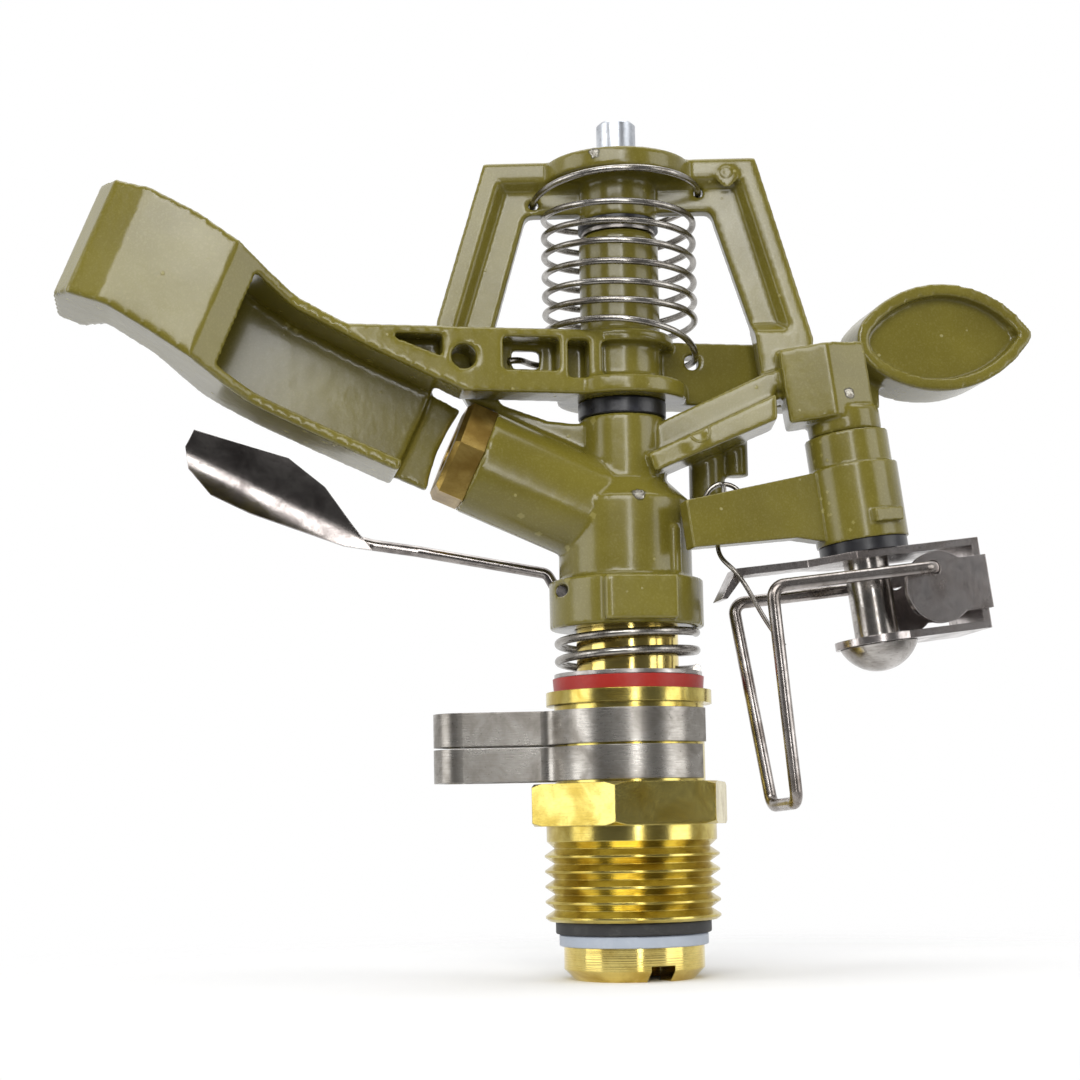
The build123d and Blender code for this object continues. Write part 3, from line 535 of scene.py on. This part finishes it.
class SPRINKLER_OT_trip_lever(bpy.types.Operator):
    """Casts the trip lever with its plate and drum"""

    bl_idname = "sprinkler.trip_lever"
    bl_label = "Trip lever casting"

    def execute(self, context):
        skin = context.scene.sprinkler_enamel.lever_skin
        enamel = cast_enamel("lever_enamel", LEVER_CHIPS)
        casting("trip_lever", "trip_lever_casting", skin, enamel, "lever")
        return {"FINISHED"}


class SPRINKLER_OT_brass(bpy.types.Operator):
    """Finishes the nipple, the rotating tube and the nozzle"""

    bl_idname = "sprinkler.brass"
    bl_label = "Brass fittings"

    def execute(self, context):
        satin = turned_brass("nipple_brass", srgb(206, 190, 112), srgb(168, 146, 66), 0.2)
        polished = turned_brass("tube_brass", srgb(222, 202, 122), srgb(188, 160, 76), 0.13)
        dull = turned_brass("nozzle_brass", srgb(176, 150, 84), srgb(128, 102, 48), 0.34, streak=0.03)
        dress(["bearing_nipple"], satin)
        dress(["rotating_tube"], polished)
        dress(["nozzle"], dull)
        return {"FINISHED"}


class SPRINKLER_OT_washers(bpy.types.Operator):
    """Finishes the washers, bushings and the liner in the hub"""

    bl_idname = "sprinkler.washers"
    bl_label = "Washers and bushings"

    def execute(self, context):
        rubber = moulded("rubber", srgb(34, 34, 34), srgb(92, 92, 90), 0.6, depth=0.03)
        nylon = moulded("nylon", srgb(160, 168, 180), srgb(190, 196, 204), 0.42)
        red = moulded("red_wear", srgb(158, 26, 12), srgb(190, 66, 48), 0.4)
        black = moulded("acetal", srgb(28, 28, 32), srgb(78, 80, 92), 0.32)
        plain = worn_steel("washer_steel", srgb(196, 192, 188), srgb(128, 122, 118), 0.3)
        dress(["inlet_rubber_washer"], rubber)
        dress(["inlet_nylon_washer", "arm_bush"], nylon)
        dress(["red_washer"], red)
        dress(["arm_lower_bushing", "arm_black_washer", "lever_washer"], black)
        dress(["spring_seat_washer", "arm_steel_washer"], plain)
        return {"FINISHED"}


class SPRINKLER_OT_wires(bpy.types.Operator):
    """Finishes the springs and the trip wire"""

    bl_idname = "sprinkler.wires"
    bl_label = "Springs and trip wire"

    def execute(self, context):
        drawn = worn_steel(
            "spring_wire",
            srgb(178, 174, 168),
            srgb(112, 106, 98),
            0.26,
            brush=(2400.0, 2400.0, 2400.0),
            depth=0.004,
            edge=0.05,
        )
        satin = worn_steel(
            "trip_wire_steel",
            srgb(188, 182, 178),
            srgb(120, 112, 106),
            0.24,
            brush=(2200.0, 2200.0, 900.0),
            edge=0.05,
        )
        dress(["arm_spring", "bearing_spring", "overcentre_spring"], drawn)
        dress(["trip_wire"], satin)
        return {"FINISHED"}


class SPRINKLER_OT_collars(bpy.types.Operator):
    """Finishes the two trip collars"""

    bl_idname = "sprinkler.collars"
    bl_label = "Trip collars"

    def execute(self, context):
        strip = worn_steel(
            "collar_steel",
            srgb(170, 166, 160),
            srgb(120, 115, 108),
            0.3,
            brush=(500.0, 500.0, 6500.0),
            depth=0.01,
        )
        dress(["upper_trip_collar", "lower_trip_collar"], strip)
        return {"FINISHED"}


class SPRINKLER_OT_trip(bpy.types.Operator):
    """Finishes the folded bracket, the rivet, the deflector and the pivot pin"""

    bl_idname = "sprinkler.trip"
    bl_label = "Bracket, rivet, deflector and pin"

    def execute(self, context):
        sheet = worn_steel(
            "bracket_steel",
            srgb(206, 200, 198),
            srgb(140, 132, 128),
            0.22,
            brush=(700.0, 4200.0, 700.0),
        )
        headed = worn_steel("rivet_steel", srgb(198, 194, 190), srgb(130, 124, 118), 0.2)
        polished = worn_steel(
            "deflector_steel",
            srgb(170, 164, 160),
            srgb(104, 98, 96),
            0.16,
            brush=(600.0, 3000.0, 600.0),
        )
        zinc = worn_steel(
            "pin_zinc",
            srgb(214, 218, 224),
            srgb(170, 174, 180),
            0.34,
            brush=(900.0, 900.0, 3000.0),
        )
        dress(["trip_bracket"], sheet)
        dress(["trip_rivet"], headed)
        dress(["deflector"], polished)
        dress(["arm_pivot_pin"], zinc)
        return {"FINISHED"}


class SPRINKLER_OT_stage(bpy.types.Operator):
    """Sets the pale floor, the soft lamps and the camera"""

    bl_idname = "sprinkler.stage"
    bl_label = "Studio"

    def execute(self, context):
        scene = context.scene
        studio = scene.sprinkler_studio
        self.lay_floor(scene)
        self.light_air(scene, studio.air)
        for name, place, width, height, power in LAMPS:
            self.hang_lamp(scene, name, place, width, height, getattr(studio, power))
        self.aim_camera(scene, studio)
        scene.view_settings.view_transform = "Standard"
        return {"FINISHED"}

    def lay_floor(self, scene):
        """A pale disc that takes the shadow and fades into the white."""
        level = CAD_BOX[0].z
        disc = bmesh.new()
        bmesh.ops.create_circle(disc, cap_ends=True, segments=FLOOR_SIDES, radius=FLOOR_RADIUS)
        bmesh.ops.translate(disc, verts=disc.verts, vec=(0.0, 0.0, level))
        mesh = bpy.data.meshes.new("floor")
        disc.to_mesh(mesh)
        disc.free()
        floor = bpy.data.objects.new("floor", mesh)
        scene.collection.objects.link(floor)
        f = Finish("floor_white")
        fade = f.distance((0.0, 0.0, level / MM)).rise(*FLOOR_FADE)
        pale = f.node("ShaderNodeBsdfDiffuse", None, {"Color": srgb(252, 252, 252)})
        gone = f.node("ShaderNodeBsdfTransparent")
        mixed = f.node("ShaderNodeMixShader", None, {0: fade, 1: pale, 2: gone})
        f.close("ShaderNodeOutputMaterial", mixed)
        mesh.materials.append(f.material)

    def light_air(self, scene, strength):
        """White behind everything, soft light on the sprinkler and a darker room in reflections."""
        world = bpy.data.worlds.new("studio_air")
        scene.world = world
        world.use_nodes = True
        w = Weave(world.node_tree)
        straight = w.node("ShaderNodeLightPath", output="Is Camera Ray")
        through = w.node("ShaderNodeLightPath", output="Is Transmission Ray")
        mirrored = w.node("ShaderNodeLightPath", output="Is Glossy Ray")
        ahead = w.parts(w.node("ShaderNodeTexCoord", output="Generated"))[1] * 0.5 + 0.5
        level = w.node("ShaderNodeValToRGB", {"stops": ROOM}, {"Fac": ahead})
        pure = srgb(255, 255, 255)
        air = w.node("ShaderNodeBackground", None, {"Strength": strength})
        room = w.node("ShaderNodeBackground", None, {"Color": level, "Strength": 1.0})
        white = w.node("ShaderNodeBackground", None, {"Color": pure, "Strength": 1.0})
        shine = w.node("ShaderNodeMixShader", None, {0: mirrored, 1: air, 2: room})
        whole = w.node("ShaderNodeMixShader", None, {0: straight.most(through), 1: shine, 2: white})
        w.close("ShaderNodeOutputWorld", whole)

    def hang_lamp(self, scene, name, place, width, height, power):
        data = bpy.data.lights.new(name, "AREA")
        data.shape = "RECTANGLE"
        data.size = width
        data.size_y = height
        data.energy = power
        lamp = bpy.data.objects.new(name, data)
        lamp.location = place
        lamp.rotation_mode = "QUATERNION"
        lamp.rotation_quaternion = (Vector(LAMP_AIM) - lamp.location).to_track_quat("-Z", "Y")
        scene.collection.objects.link(lamp)

    def aim_camera(self, scene, studio):
        """Turns the camera by its yaw and pitch, and then rolls it about its view line."""
        data = bpy.data.cameras.new("camera")
        data.sensor_width = CAMERA_SENSOR
        data.lens = studio.lens
        data.shift_y = studio.rise
        data.clip_start = CAMERA_NEAR
        level = Vector((math.sin(CAMERA_YAW), math.cos(CAMERA_YAW), 0.0))
        ahead = math.cos(CAMERA_PITCH) * level + math.sin(CAMERA_PITCH) * Vector((0.0, 0.0, 1.0))
        right = Vector((level.y, -level.x, 0.0))
        up = right.cross(ahead)
        across = math.cos(CAMERA_ROLL) * right + math.sin(CAMERA_ROLL) * up
        upright = -math.sin(CAMERA_ROLL) * right + math.cos(CAMERA_ROLL) * up
        turn = Matrix((across, upright, -ahead)).transposed().to_4x4()
        camera = bpy.data.objects.new("camera", data)
        camera.matrix_world = Matrix.Translation(CAMERA_PLACE) @ turn
        scene.collection.objects.link(camera)
        scene.camera = camera


class SPRINKLER_PT_panel(bpy.types.Panel):
    """Lists the steps in order, with the settings that they use"""

    bl_idname = "SPRINKLER_PT_panel"
    bl_label = "Impulse sprinkler"
    bl_space_type = "VIEW_3D"
    bl_region_type = "UI"
    bl_category = "Sprinkler"

    def draw(self, context):
        for step in STEPS:
            self.layout.operator(step.bl_idname)
        for group in (context.scene.sprinkler_enamel, context.scene.sprinkler_studio):
            box = self.layout.box()
            for name in group.__annotations__:
                box.prop(group, name)


STEPS = (
    SPRINKLER_OT_body,
    SPRINKLER_OT_drive_arm,
    SPRINKLER_OT_trip_lever,
    SPRINKLER_OT_brass,
    SPRINKLER_OT_washers,
    SPRINKLER_OT_wires,
    SPRINKLER_OT_collars,
    SPRINKLER_OT_trip,
    SPRINKLER_OT_stage,
)
CLASSES = (SprinklerEnamel, SprinklerStudio, *STEPS, SPRINKLER_PT_panel)


def register():
    for one in CLASSES:
        bpy.utils.register_class(one)
    bpy.types.Scene.sprinkler_enamel = PointerProperty(type=SprinklerEnamel)
    bpy.types.Scene.sprinkler_studio = PointerProperty(type=SprinklerStudio)


def unregister():
    del bpy.types.Scene.sprinkler_studio
    del bpy.types.Scene.sprinkler_enamel
    for one in reversed(CLASSES):
        bpy.utils.unregister_class(one)


def main():
    register()
    for step in STEPS:
        getattr(bpy.ops.sprinkler, step.bl_idname.split(".")[1])()


if __name__ == "__main__":
    main()
